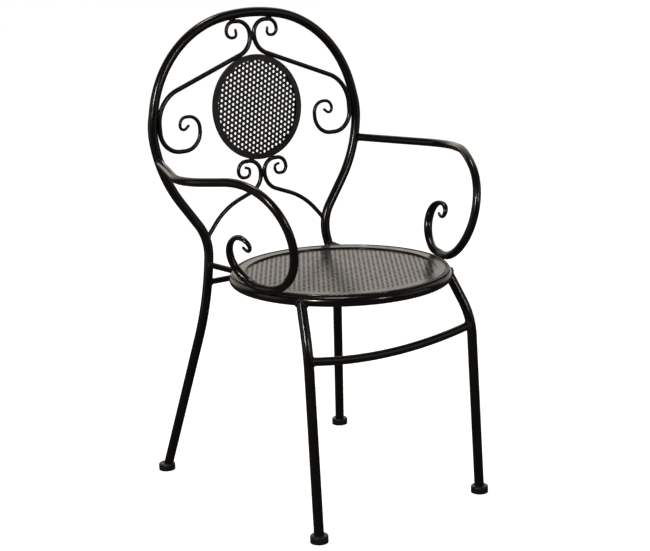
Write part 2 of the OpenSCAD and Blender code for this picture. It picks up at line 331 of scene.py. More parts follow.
def placement(point: Vector, heading: Vector, across: Vector, width: float, depth: float) -> Matrix:
    """Puts a unit circle square to the heading.

    Args:
        point: Centre of the section.
        heading: The way that the section faces.
        across: Direction that the section's depth lies along, as nearly as the heading lets it.
        width: Radius square to across.
        depth: Radius along across.

    Returns:
        The matrix from the unit circle in XY to the section.
    """
    depth_axis = (across - heading * across.dot(heading)).normalized()
    width_axis = depth_axis.cross(heading)
    turn = Matrix((width_axis, depth_axis, width_axis.cross(depth_axis))).transposed().to_4x4()
    return Matrix.Translation(point) @ turn @ Matrix.Diagonal((width, depth, 1.0, 1.0))


def corners_of(geom: Sequence[object]) -> list[bmesh.types.BMVert]:
    """The vertices among mesh elements."""
    return [g for g in geom if isinstance(g, bmesh.types.BMVert)]


def edges_at(verts: Sequence[bmesh.types.BMVert]) -> list[bmesh.types.BMEdge]:
    """The edges at the vertices, each once."""
    return list(dict.fromkeys(e for v in verts for e in v.link_edges))


def forge(bm: bmesh.types.BMesh, sections: Sequence[Section], across: Vector, sides: int,
          closed: bool = False) -> None:
    """Draws a bar through its sections: one circle, extruded from section to section.

    Args:
        bm: The mesh that gets the bar.
        sections: The bar's sections in order.
        across: Direction that the sections' depth lies along.
        sides: Sides of a section.
        closed: Whether the last section joins the first.
    """
    ring = bmesh.ops.create_circle(bm, segments=sides, radius=1.0)["verts"]
    edges = first_edges = edges_at(ring)
    held = Matrix.Identity(4)
    for i, s in enumerate(sections):
        wanted = placement(s.station.point, s.station.heading, across, s.width, s.depth)
        if i:
            grown = bmesh.ops.extrude_edge_only(bm, edges=edges)["geom"]
            ring = corners_of(grown)
            edges = [g for g in grown if isinstance(g, bmesh.types.BMEdge) and g.is_boundary]
        bmesh.ops.transform(bm, matrix=wanted @ held.inverted(), verts=ring)
        held = wanted
    if closed:
        bmesh.ops.bridge_loops(bm, edges=first_edges + edges)
    else:
        bmesh.ops.edgeloop_fill(bm, edges=first_edges)
        bmesh.ops.edgeloop_fill(bm, edges=edges)
    bmesh.ops.recalc_face_normals(bm, faces=bm.faces)


def spin_round(bm: bmesh.types.BMesh, centre: Vector, steps: int) -> None:
    """Spins the section that a mesh holds once round an upright axis.

    Args:
        bm: The mesh.
        centre: A point of the axis.
        steps: Steps of the full turn.
    """
    bmesh.ops.spin(bm, geom=bm.verts[:] + bm.edges[:], cent=centre, axis=(0, 0, 1), angle=math.tau,
                   steps=steps, use_merge=True)
    bmesh.ops.recalc_face_normals(bm, faces=bm.faces)


def add_object(name: str, data: bpy.types.ID) -> bpy.types.Object:
    """Puts data into the scene.

    Args:
        name: The object's name.
        data: Its mesh, light or camera.

    Returns:
        The object, at the origin.
    """
    made = bpy.data.objects.new(name, data)
    bpy.context.scene.collection.objects.link(made)
    return made


def finished(name: str, bm: bmesh.types.BMesh, slot: Slot, material: bpy.types.Material,
             crease: Crease = Crease.BAR) -> bpy.types.Object:
    """Turns a mesh under construction into a piece of the chair.

    Args:
        name: The piece's name.
        bm: Its mesh, which is freed.
        slot: The record's material slot; it is not used.
        material: Its finish.
        crease: Which edges stay sharp.

    Returns:
        The piece, riding on the chair's body.
    """
    mesh = bpy.data.meshes.new(name)
    bm.normal_update()
    for face in bm.faces:
        face.smooth = True
    for edge in bm.edges:
        if len(edge.link_faces) == 2 and edge.calc_face_angle(0.0) > math.radians(crease.value):
            edge.smooth = False
    open_edges = sum(len(edge.link_faces) != 2 for edge in bm.edges)
    bm.to_mesh(mesh)
    bm.free()
    mesh.materials.append(material)
    piece = add_object(name, mesh)
    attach(piece, "root")
    log.info("%s: %d faces, %d open edges", name, len(mesh.polygons), open_edges)
    return piece


def coat(node: str, material: bpy.types.Material) -> None:
    """Gives a CAD node its finish.

    Args:
        node: The node's name.
        material: Its finish.
    """
    piece = frame["nodes"][node]
    if piece.material_slots:
        for held in piece.material_slots:
            held.material = material
    else:
        piece.data.materials.append(material)
    log.info("%s: coated with %s", node, material.name)


# Shader nodes, and the groups that several finishes share

def fresh_tree(owner: bpy.types.Material | bpy.types.World) -> bpy.types.NodeTree:
    """Turns nodes on and empties them.

    Args:
        owner: What gets the nodes.

    Returns:
        Its node tree.
    """
    owner.use_nodes = True
    owner.node_tree.nodes.clear()
    return owner.node_tree


def add_node(tree: bpy.types.NodeTree, kind: str, **values: object) -> bpy.types.Node:
    """A node of the kind, with attributes or, by their socket's name, inputs set.

    Args:
        tree: The tree that gets the node.
        kind: Its type name.
        **values: Attributes in lower case, and inputs with their first letter in upper case.

    Returns:
        The node.
    """
    node = tree.nodes.new(kind)
    for label, value in values.items():
        if label[0].isupper():
            node.inputs[label.replace("_", " ")].default_value = value
        else:
            setattr(node, label, value)
    return node


def spread(tree: bpy.types.NodeTree, value: bpy.types.NodeSocket, **ends: object) -> bpy.types.NodeSocket:
    """Maps a value from one range to another.

    Args:
        tree: The tree that gets the node.
        value: The value.
        **ends: The ends of the ranges and the interpolation, as add_node takes them.

    Returns:
        The mapped value.
    """
    node = add_node(tree, "ShaderNodeMapRange", **ends)
    tree.links.new(value, node.inputs["Value"])
    return node.outputs["Result"]


def product(tree: bpy.types.NodeTree, a: bpy.types.NodeSocket,
            b: bpy.types.NodeSocket) -> bpy.types.NodeSocket:
    """Multiplies two values.

    Args:
        tree: The tree that gets the node.
        a: One value.
        b: The other value.

    Returns:
        Their product.
    """
    node = add_node(tree, "ShaderNodeMath", operation="MULTIPLY")
    tree.links.new(a, node.inputs[0])
    tree.links.new(b, node.inputs[1])
    return node.outputs["Value"]


def split_by_ray(tree: bpy.types.NodeTree, lit: bpy.types.NodeSocket, seen: bpy.types.NodeSocket,
                 out: bpy.types.Node) -> None:
    """Shows the camera one shader, and everything else another.

    Args:
        tree: The tree that gets the nodes.
        lit: The shader for light and reflections.
        seen: The shader for the camera.
        out: The output node.
    """
    link = tree.links.new
    path = add_node(tree, "ShaderNodeLightPath")
    both = add_node(tree, "ShaderNodeMixShader")
    link(path.outputs["Is Camera Ray"], both.inputs["Fac"])
    link(lit, both.inputs[1])
    link(seen, both.inputs[2])
    link(both.outputs["Shader"], out.inputs["Surface"])


def new_group(name: str, inputs: dict[str, float], outputs: Sequence[str]) -> bpy.types.NodeTree:
    """An empty shader group with an input for the place.

    Args:
        name: The group's name.
        inputs: Default of each further input by name.
        outputs: Names of the outputs.

    Returns:
        The group's node tree, with its nodes in and out.
    """
    group = bpy.data.node_groups.new(name, "ShaderNodeTree")
    group.interface.new_socket("Place", in_out="INPUT", socket_type="NodeSocketVector")
    for label, value in inputs.items():
        socket = group.interface.new_socket(label, in_out="INPUT", socket_type="NodeSocketFloat")
        socket.default_value = value
    for label in outputs:
        group.interface.new_socket(label, in_out="OUTPUT", socket_type="NodeSocketFloat")
    group.nodes.new("NodeGroupInput").name = "in"
    group.nodes.new("NodeGroupOutput").name = "out"
    return group


def group_noise(group: bpy.types.NodeTree, size: str, detail: float,
                roughness: float) -> bpy.types.NodeSocket:
    """Adds a noise at the group's place.

    Args:
        group: The group.
        size: Name of the group's input that is the noise's scale.
        detail: Its detail.
        roughness: Its roughness.

    Returns:
        The noise's value.
    """
    source = group.nodes["in"]
    node = add_node(group, "ShaderNodeTexNoise", Detail=detail, Roughness=roughness)
    group.links.new(source.outputs["Place"], node.inputs["Vector"])
    group.links.new(source.outputs[size], node.inputs["Scale"])
    return node.outputs["Fac"]


def orange_peel_group() -> bpy.types.NodeTree:
    """The slight waviness of sprayed powder once it has flowed.

    Returns:
        A group that puts out a height, and a mask of slow changes in gloss.
    """
    group = new_group("orange_peel", {"Size": 1.0, "Gloss Size": 1.0}, ["Height", "Gloss"])
    sink = group.nodes["out"]
    group.links.new(group_noise(group, "Size", detail=2.0, roughness=0.55), sink.inputs["Height"])
    slow = group_noise(group, "Gloss Size", detail=4.0, roughness=0.6)
    gloss = spread(group, slow, From_Min=0.32, From_Max=0.68)
    group.links.new(gloss, sink.inputs["Gloss"])
    return group


def dust_and_sheen_group() -> bpy.types.NodeTree:
    """The fine dust that settles on faces turned up, broken up by noise. Where a finish asks for much of it,
    as the seat's sheet does, it is also painted light: a painted sheen and lit tone on the faces turned up,
    against hole walls that stay dark.

    Returns:
        A group that puts out a mask.
    """
    group = new_group("settled_dust", {"Amount": 0.2, "Size": 60.0}, ["Mask"])
    facing = add_node(group, "ShaderNodeNewGeometry")
    split = add_node(group, "ShaderNodeSeparateXYZ")
    group.links.new(facing.outputs["Normal"], split.inputs["Vector"])
    # Faces turned up get lighter: settled dust, and on the seat's sheet also painted light and a painted
    # sheen.
    up = spread(group, split.outputs["Z"], From_Min=0.35, From_Max=1.0, interpolation_type="SMOOTHSTEP")
    fine = group_noise(group, "Size", detail=6.0, roughness=0.7)
    patch = spread(group, fine, From_Min=0.38, From_Max=0.7)
    mask = product(group, product(group, up, patch), group.nodes["in"].outputs["Amount"])
    group.links.new(mask, group.nodes["out"].inputs["Mask"])
    return group


@dataclass(frozen=True)
class Shared:
    """The node groups that the finishes place."""

    orange_peel: bpy.types.NodeTree
    settled_dust: bpy.types.NodeTree

    @classmethod
    def build(cls) -> "Shared":
        """Builds each group once."""
        return cls(orange_peel_group(), dust_and_sheen_group())


@dataclass(frozen=True)
class Finish:
    """A coated or moulded surface.

    Colours are linear. Sizes are noise scales per metre, and depths are in metres. The colour laid on faces
    turned up is dust, and on the seat's sheet it is also a painted sheen and painted light.
    """

    name: str
    colour: tuple[float, float, float]
    dust_and_sheen_colour: tuple[float, float, float]
    dust: float
    gloss_range: tuple[float, float]
    peel_size: float
    peel_depth: float
    dent_size: float = 0.0
    dent_depth: float = 0.0
    specular: float = 0.5
    gloss_size: float = 34.0

    def build(self, shared: Shared) -> bpy.types.Material:
        """Makes the material.

        Args:
            shared: The node groups.

        Returns:
            The material.
        """
        material = bpy.data.materials.new(self.name)
        tree = fresh_tree(material)
        link = tree.links.new
        out = add_node(tree, "ShaderNodeOutputMaterial")
        shader = add_node(tree, "ShaderNodeBsdfPrincipled", Specular_IOR_Level=self.specular)
        link(shader.outputs["BSDF"], out.inputs["Surface"])
        place = add_node(tree, "ShaderNodeTexCoord").outputs["Object"]

        peel = add_node(tree, "ShaderNodeGroup", node_tree=shared.orange_peel, Size=self.peel_size,
                        Gloss_Size=self.gloss_size)
        link(place, peel.inputs["Place"])
        low, high = self.gloss_range
        link(spread(tree, peel.outputs["Gloss"], To_Min=low, To_Max=high), shader.inputs["Roughness"])

        # Dust on faces turned up; on the seat's sheet it is also a painted sheen and painted light on the top.
        dust = add_node(tree, "ShaderNodeGroup", node_tree=shared.settled_dust, Amount=self.dust)
        link(place, dust.inputs["Place"])
        tint = add_node(tree, "ShaderNodeMix", data_type="RGBA", A=(*self.colour, 1.0),
                        B=(*self.dust_and_sheen_colour, 1.0))
        link(dust.outputs["Mask"], tint.inputs["Factor"])
        link(tint.outputs["Result"], shader.inputs["Base Color"])

        bump = add_node(tree, "ShaderNodeBump", Strength=1.0, Distance=self.peel_depth)
        link(peel.outputs["Height"], bump.inputs["Height"])
        if self.dent_depth:
            dents = add_node(tree, "ShaderNodeTexNoise", Scale=self.dent_size, Detail=1.0)
            link(place, dents.inputs["Vector"])
            hammered = add_node(tree, "ShaderNodeBump", Strength=1.0, Distance=self.dent_depth)
            link(dents.outputs["Fac"], hammered.inputs["Height"])
            link(hammered.outputs["Normal"], bump.inputs["Normal"])
        link(bump.outputs["Normal"], shader.inputs["Normal"])
        return material


GREY_DUST = (0.10, 0.095, 0.085)
TUBE_COAT = Finish("tube_powder_coat", (0.005, 0.0045, 0.004), GREY_DUST, dust=0.05, gloss_range=(0.15, 0.22),
                   peel_size=350.0, peel_depth=0.006 * MM)
FORGED_COAT = replace(TUBE_COAT, name="forged_powder_coat", gloss_range=(0.18, 0.26), dent_size=110.0,
                      dent_depth=0.2 * MM)
WELD_COAT = Finish("weld_powder_coat", (0.007, 0.0065, 0.006), GREY_DUST, dust=0.03, gloss_range=(0.3, 0.45),
                   peel_size=900.0, peel_depth=0.08 * MM, dent_size=420.0, dent_depth=0.5 * MM)
# The sheet's pale dust colour, laid thickly on faces turned up, is partly real dust and partly a painted sheen
# and painted light on the seat's top, against hole walls that keep the dark base colour.
SHEET_COAT = Finish("sheet_powder_coat", (0.012, 0.011, 0.01), (0.30, 0.28, 0.25), dust=0.28,
                    gloss_range=(0.17, 0.26), peel_size=600.0, peel_depth=0.015 * MM, specular=0.78)
CAP_PLASTIC = Finish("foot_cap_plastic", (0.009, 0.009, 0.0095), (0.14, 0.13, 0.12), dust=0.08,
                     gloss_range=(0.38, 0.5), peel_size=1400.0, peel_depth=0.04 * MM)


@dataclass(frozen=True)
class Finishes:
    """The chair's materials."""

    tube: bpy.types.Material
    forged: bpy.types.Material
    weld: bpy.types.Material
    sheet: bpy.types.Material
    cap: bpy.types.Material

    @classmethod
    def build(cls) -> "Finishes":
        """Builds each finish once."""
        shared = Shared.build()
        return cls(*(f.build(shared) for f in (TUBE_COAT, FORGED_COAT, WELD_COAT, SHEET_COAT, CAP_PLASTIC)))


@dataclass
class BackPlane:
    """The leaning plane of the back, with the round panel's centre as its origin."""

    centre: Vector = field(default_factory=lambda: at(0, 209, 740))
    rake: float = math.radians(4.3)

    @property
    def up(self) -> Vector:
        """The way up along the back."""
        return Vector((0, math.sin(self.rake), math.cos(self.rake)))

    @property
    def out(self) -> Vector:
        """The way out of the back's front face."""
        return Vector((0, -math.cos(self.rake), math.sin(self.rake)))

    def spot(self, x_mm: float, w_mm: float) -> Vector:
        """The point x across and w up from the panel's centre, in millimetres."""
        return self.centre + Vector((x_mm * MM, 0, 0)) + self.up * w_mm * MM


@dataclass
class Frame:
    """The tube frame: the back frame's single bent tube, front legs, stretcher, rear bars and seat ring.

    Lengths are in millimetres, unless they are points. The back's corners are those of its left half above
    the knee, across and up from the panel's centre. A place on the ring is an angle from the sitter's left.
    The stretcher's bend takes a share of its length. The bars stop short of the centre lines that they run
    to. The tubes' sections are lined up by the seam's direction, which no tube runs along.
    """

    back: BackPlane
    tube: float = 19.0
    stretcher_tube: float = 16.0
    bar: float = 12.0
    ring_r: float = 206.0
    ring_centre: Vector = field(default_factory=lambda: at(0, -65, 440))
    rear_foot: Vector = field(default_factory=lambda: at(222.5, 263.5, 0))
    knee: Vector = field(default_factory=lambda: at(159.5, 171.5, 369.5))
    back_corners: tuple[tuple[float, float], ...] = ((139, -250), (234, -118), (247, -24), (205, 164))
    back_bends: tuple[float, ...] = (420, 90, 268, 140, 215)
    crown_w: float = 194.0
    crown_bend: float = 380.0
    leg_angle: float = math.radians(-33.3)
    leg_reach: Vector = field(default_factory=lambda: at(21.5, -67, 0))
    leg_lean: Vector = field(default_factory=lambda: at(-2, 20, 354))
    leg_bend: float = 150.0
    cap_floor: float = 3.1
    stretcher_z: float = 339.0
    stretcher_dip: float = 36.0
    stretcher_bent: float = 0.96
    bar_z: float = 405.0
    bracket_angle: float = math.radians(48)
    stop_short: float = 6.0
    step: float = 6.0
    sides: int = 32
    ring_steps: int = 160
    seam: Vector = field(default_factory=lambda: Vector((0.13, -0.99, 0.06)))

    @property
    def tube_r(self) -> float:
        """The tube's radius in metres."""
        return self.tube / 2 * MM

    def leg_end(self, foot: Vector, knee: Vector) -> Vector:
        """A leg's square end, whose lowest edge stands on its cap's floor."""
        way = direction(foot, knee)
        return foot + way * (self.cap_floor * MM + self.tube_r * math.hypot(way.x, way.y)) / way.z

    def upright(self) -> Route:
        """The back frame's centre line.

        Returns:
            The route from the left foot, over the arch, to the right foot.
        """
        spot = self.back.spot
        foot = self.leg_end(self.rear_foot, self.knee)
        half = [foot, self.knee, *(spot(x, w) for x, w in self.back_corners)]
        other = [mirrored(p, Side.RIGHT) for p in reversed(half)]
        bends = (*self.back_bends, self.crown_bend, *reversed(self.back_bends))
        return Route.of([*half, spot(0, self.crown_w), *other], bends)

    def on_ring(self, angle: float, out_mm: float = 0.0, up_mm: float = 0.0) -> Vector:
        """A point by the seat ring's centre line, as far out and up from it as given."""
        reach = (self.ring_r + out_mm) * MM
        return self.ring_centre + Vector((reach * math.cos(angle), reach * math.sin(angle), up_mm * MM))

    def front_leg(self) -> Route:
        """The left front leg's centre line, whose foot stands out from its place on the ring.

        Returns:
            The route from the foot to the ring.
        """
        top = self.on_ring(self.leg_angle)
        foot = Vector((top.x, top.y, 0)) + self.leg_reach
        knee = foot + self.leg_lean
        return Route.of([self.leg_end(foot, knee), knee, top], (self.leg_bend,))

    def stretcher(self) -> Route:
        """The front stretcher's centre line, nearly all of it one bend.

        Returns:
            The route from leg to leg.
        """
        end = self.front_leg().at_height(Bend.KNEE, self.stretcher_z * MM)
        middle = Vector((0, end.y, (self.stretcher_z - self.stretcher_dip) * MM))
        corners = (end, middle, mirrored(end, Side.RIGHT))
        half_turn = Route(corners, (0.0,)).turn(1) / 2
        radius = self.stretcher_bent * (middle - end).length / math.tan(half_turn)
        return Route.of(corners, (radius / MM,))

    def cross_bar(self) -> Route:
        """The rear cross bar's centre line, from upright to upright."""
        end = self.upright().at_height(Bend.KNEE, self.bar_z * MM)
        return Route((end, mirrored(end, Side.RIGHT)), ())

    def bracket(self) -> Route:
        """The left rear bracket's centre line, from the upright to the ring."""
        start = self.upright().at_height(Bend.KNEE, self.ring_centre.z)
        return Route((start, self.on_ring(self.bracket_angle)), ())

    def tube_piece(self, name: str, node: str, route: Route, diameter: float, ends: tuple[float, float],
                   material: bpy.types.Material) -> None:
        """Draws a plain tube in place of its CAD node.

        Args:
            name: The piece's name.
            node: The node that it stands for.
            route: Its centre line.
            diameter: Its diameter in millimetres.
            ends: How far each end stops short of its route's end, in millimetres.
            material: Its finish.
        """
        stations = route.stations(self.step * MM)
        first, last = stations[0], stations[-1]
        start, end = ends[0] * MM, last.travelled - ends[1] * MM
        stations = [
            Station(first.point + first.heading * start, first.heading, start),
            *(s for s in stations if start < s.travelled < end),
            Station(last.point - last.heading * ends[1] * MM, last.heading, end),
        ]
        radius = diameter / 2 * MM
        bm = bmesh.new()
        forge(bm, [Section(s, radius, radius) for s in stations], self.seam, self.sides)
        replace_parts(finished(name, bm, Slot.IRON, material), node)

    def ring(self, finishes: Finishes) -> None:
        """Turns the seat ring about the seat's middle.

        Args:
            finishes: The chair's materials.
        """
        bm = bmesh.new()
        stand = Matrix.Translation(self.on_ring(0.0)) @ Matrix.Rotation(math.pi / 2, 4, "X")
        bmesh.ops.create_circle(bm, segments=self.sides, radius=self.tube_r, matrix=stand)
        spin_round(bm, self.ring_centre, self.ring_steps)
        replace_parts(finished("seat_ring_tube", bm, Slot.IRON, finishes.tube), "seat_ring")

    def build(self, finishes: Finishes) -> None:
        """Makes the frame's tubes and bars, in place of their CAD nodes.

        Args:
            finishes: The chair's materials.
        """
        both_short = (self.stop_short, self.stop_short)
        pieces = [
            ("back_frame_tube", "back_frame", self.upright(), self.tube, (0.0, 0.0)),
            ("front_stretcher_tube", "front_stretcher", self.stretcher(), self.stretcher_tube, both_short),
            ("rear_cross_rod", "rear_cross_bar", self.cross_bar(), self.bar, both_short),
        ]
        for side in Side:
            leg, bracket = f"front_leg_{side.word}", f"rear_bracket_{side.word}"
            pieces += [
                (f"{leg}_tube", leg, self.front_leg().mirror(side), self.tube, (0.0, self.stop_short)),
                (f"{bracket}_rod", bracket, self.bracket().mirror(side), self.bar, both_short),
            ]
        for piece in pieces:
            self.tube_piece(*piece, finishes.tube)
        self.ring(finishes)


@dataclass(frozen=True)
class Perforated:
    """A round perforated sheet, drawn in millimetres in its own plane round its middle.

    Its holes lie within reach of the middle. The first hole is given along the rows and square to them. The
    rows' turn is from the sheet's X axis, and the turn of the sides of its round edge is from the rows.
    Corners of cells that lie within the merge distance become one.
    """

    radius: float
    reach: float
    rows_turn: float
    first_hole: tuple[float, float]
    thick: float = 1.5
    hole_d: float = 5.6
    pitch: float = 10.5
    hole_sides: int = 18
    sides: int = 180
    sides_turn: float = math.radians(-7.3)
    merge: float = 0.001

    def rows(self) -> list[list[Vector]]:
        """The middles of the holes.

        Returns:
            The rows, each with its holes in order.
        """
        rise = self.pitch * math.sin(math.radians(60))
        count = math.ceil(self.reach / rise) + 1
        first = Vector((*self.first_hole, 0))
        found = []
        for j in range(-count, count + 1):
            along = ((i + j / 2) * self.pitch for i in range(-2 * count, 2 * count + 1))
            spots = (first + Vector((x, j * rise, 0)) for x in along)
            found.append([p for p in spots if p.length < self.reach])
        return [row for row in found if row]

    def cell(self, bm: bmesh.types.BMesh) -> list[object]:
        """Makes a cell round the origin: a hexagon as wide as the pitch, with a round hole.

        Args:
            bm: The empty mesh that gets the cell.

        Returns:
            The cell's elements.
        """
        bmesh.ops.create_circle(bm, segments=6, radius=self.pitch / math.sqrt(3))
        bmesh.ops.subdivide_edges(bm, edges=bm.edges[:], cuts=self.hole_sides // 6 - 1)
        grown = bmesh.ops.extrude_edge_only(bm, edges=bm.edges[:])["geom"]
        for v in corners_of(grown):
            v.co = v.co.normalized() * self.hole_d / 2
        return bm.verts[:] + bm.edges[:] + bm.faces[:]

    def lattice(self, bm: bmesh.types.BMesh) -> None:
        """Lays the cells of all rows, each row copied from one pattern row.

        Args:
            bm: The empty mesh that gets the cells.
        """
        rows = self.rows()
        pattern = [self.cell(bm)]
        while len(pattern) < max(map(len, rows)):
            pattern.append(bmesh.ops.duplicate(bm, geom=pattern[-1])["geom"])
            bmesh.ops.translate(bm, vec=(self.pitch, 0, 0), verts=corners_of(pattern[-1]))
        for row in rows:
            copied = bmesh.ops.duplicate(bm, geom=[g for cell in pattern[:len(row)] for g in cell])["geom"]
            bmesh.ops.translate(bm, vec=row[0], verts=corners_of(copied))
        bmesh.ops.delete(bm, geom=[v for cell in pattern for v in corners_of(cell)], context="VERTS")
        bmesh.ops.remove_doubles(bm, verts=bm.verts, dist=self.merge)

    def cut(self, place: Matrix) -> bmesh.types.BMesh:
        """Cuts the sheet: the cells, and a fill between their outline and the sheet's round edge.

        Args:
            place: From the sheet's plane, with its front up, to the chair.

        Returns:
            Its mesh, with its front face in the plane.
        """
        bm = bmesh.new()
        self.lattice(bm)
        # The sides of the holes are shorter than this, and those of the cells longer
        between = 1.5 * self.hole_d * math.sin(math.pi / self.hole_sides)
        outline = [e for e in bm.edges if e.is_boundary and e.calc_length() > between]
        start = Matrix.Rotation(self.sides_turn, 4, "Z")
        edge = bmesh.ops.create_circle(bm, segments=self.sides, radius=self.radius, matrix=start)["verts"]
        outline += edges_at(edge)
        bmesh.ops.triangle_fill(bm, use_beauty=True, edges=outline)
        grown = bmesh.ops.extrude_face_region(bm, geom=bm.faces[:])["geom"]
        bmesh.ops.translate(bm, vec=(0, 0, -self.thick), verts=corners_of(grown))
        bmesh.ops.recalc_face_normals(bm, faces=bm.faces)
        turn = Matrix.Rotation(self.rows_turn, 4, "Z")
        bmesh.ops.transform(bm, matrix=place @ turn @ Matrix.Scale(MM, 4), verts=bm.verts)
        return bm


@dataclass
class Seat:
    """The seat's rim and perforated panel.

    Lengths are in millimetres, and heights start at the rim's underside.
    """

    frame: Frame
    inner: float = 185.0
    outer: float = 209.0
    thick: float = 3.0
    bead: float = 4.0
    bead_rise: float = 1.0
    bead_steps: int = 9
    groove: float = 2.6
    groove_deep: float = 2.3
    edge: float = 0.35
    gap: float = 0.1
    steps: int = 180
    sheet: Perforated = Perforated(
        radius=194.0, reach=182.2, rows_turn=math.radians(-4.5), first_hole=(0.65, -1.9),
    )

    def rim_profile(self) -> list[tuple[float, float]]:
        """The rim's section, whose groove is as deep as the photograph shows it.

        Returns:
            Distances from the axis and heights, from the inner lower corner upwards.
        """
        bead_r = self.bead / 2
        bead_x, bead_z = self.outer - bead_r, self.thick + self.bead_rise - bead_r
        groove_out = self.outer - self.bead
        groove_in = groove_out - self.groove
        floor = self.thick - self.groove_deep
        arc = [math.pi * (1 - k / self.bead_steps) for k in range(self.bead_steps + 1)]
        return [
            (self.inner, 0.0), (self.inner, self.thick - self.edge), (self.inner + self.edge, self.thick),
            (groove_in - self.edge, self.thick), (groove_in, self.thick - self.edge), (groove_in, floor),
            (groove_out, floor),
            *((bead_x + bead_r * math.cos(a), bead_z + bead_r * math.sin(a)) for a in arc), (self.outer, 0.0),
        ]

    def rim(self, finishes: Finishes) -> None:
        """Turns the rim.

        Args:
            finishes: The chair's materials.
        """
        profile = self.rim_profile()
        base = self.frame.ring_centre + Vector((0, 0, self.frame.tube_r + self.gap * MM))
        bm = bmesh.new()
        made = bmesh.ops.create_circle(bm, segments=len(profile), radius=1.0)["verts"]
        for v, (reach, height) in zip(made, profile):
            v.co = base + at(reach, 0, height)
        spin_round(bm, base, self.steps)
        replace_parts(finished("seat_rim_sheet", bm, Slot.SHEET, finishes.sheet, Crease.SHEET), "seat_rim")

    def panel(self, finishes: Finishes) -> None:
        """Cuts the round sheet that hangs under the rim, inside the ring.

        Args:
            finishes: The chair's materials.
        """
        place = Matrix.Translation(self.frame.ring_centre + Vector((0, 0, self.frame.tube_r)))
        bm = self.sheet.cut(place)
        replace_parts(finished("seat_panel_sheet", bm, Slot.SHEET, finishes.sheet, Crease.SHEET), "seat_panel")

    def build(self, finishes: Finishes) -> None:
        """Makes both, in place of their CAD nodes."""
        self.rim(finishes)
        self.panel(finishes)


@dataclass
class BackPanel:
    """The round panel in the back: its rim, and the perforated sheet behind the rim.

    Lengths are in millimetres.
    """

    plane: BackPlane
    rim_t: float = 4.0
    gap: float = 0.1
    perforated: Perforated = Perforated(
        radius=103.0, reach=95.4, rows_turn=math.radians(20.25), first_hole=(-0.9, 1.5),
    )

    def sheet(self, finishes: Finishes) -> None:
        """Cuts the sheet.

        Args:
            finishes: The chair's materials.
        """
        turn = Matrix((Vector((1, 0, 0)), self.plane.up, self.plane.out)).transposed().to_4x4()
        front = self.plane.centre - self.plane.out * (self.rim_t / 2 + self.gap) * MM
        bm = self.perforated.cut(Matrix.Translation(front) @ turn)
        piece = finished("back_panel_sheet", bm, Slot.IRON, finishes.tube, Crease.SHEET)
        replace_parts(piece, "back_plate_panel")

    def build(self, finishes: Finishes) -> None:
        """Coats the rim and makes the sheet."""
        coat("back_plate_rim", finishes.tube)
        self.sheet(finishes)


@dataclass
class Taper:
    """How a bar's diameter falls towards its drawn-out tip.

    Diameters are in millimetres, distances in metres. A higher power keeps the diameter full for longer, and
    the swell is what a flattened middle adds to the depth.
    """

    full: float
    tip: float
    start: float
    length: float
    power: float = 1.6
    depth_power: float = 1.6
    swell: float = 0.0

    def section(self, s: Station) -> Section:
        """The bar's section at a station.

        Args:
            s: The station.

        Returns:
            The section, flattened where the depth falls later than the width or swells.
        """
        share = min(1.0, max(0.0, (s.travelled - self.start) / self.length))
        lost = self.full - self.tip
        width, depth = (self.full - lost * share ** p for p in (self.power, self.depth_power))
        depth += self.swell * math.sin(math.pi * share) ** 2
        return Section(s, width / 2 * MM, depth / 2 * MM)


def rounded_tip(last: Section) -> list[Section]:
    """Rounds a bar's end off.

    Args:
        last: The bar's last section.

    Returns:
        The closing sections after it.
    """
    steps, past, blunt = 5, 0.3, 0.7
    station, found = last.station, []
    for k in range(1, steps + 1):
        angle = math.pi / 2 * k / (steps + past)
        reach, shrink = math.sin(angle) * last.width * blunt, math.cos(angle)
        place = Station(station.point + station.heading * reach, station.heading, station.travelled + reach)
        found.append(Section(place, last.width * shrink, last.depth * shrink))
    return found


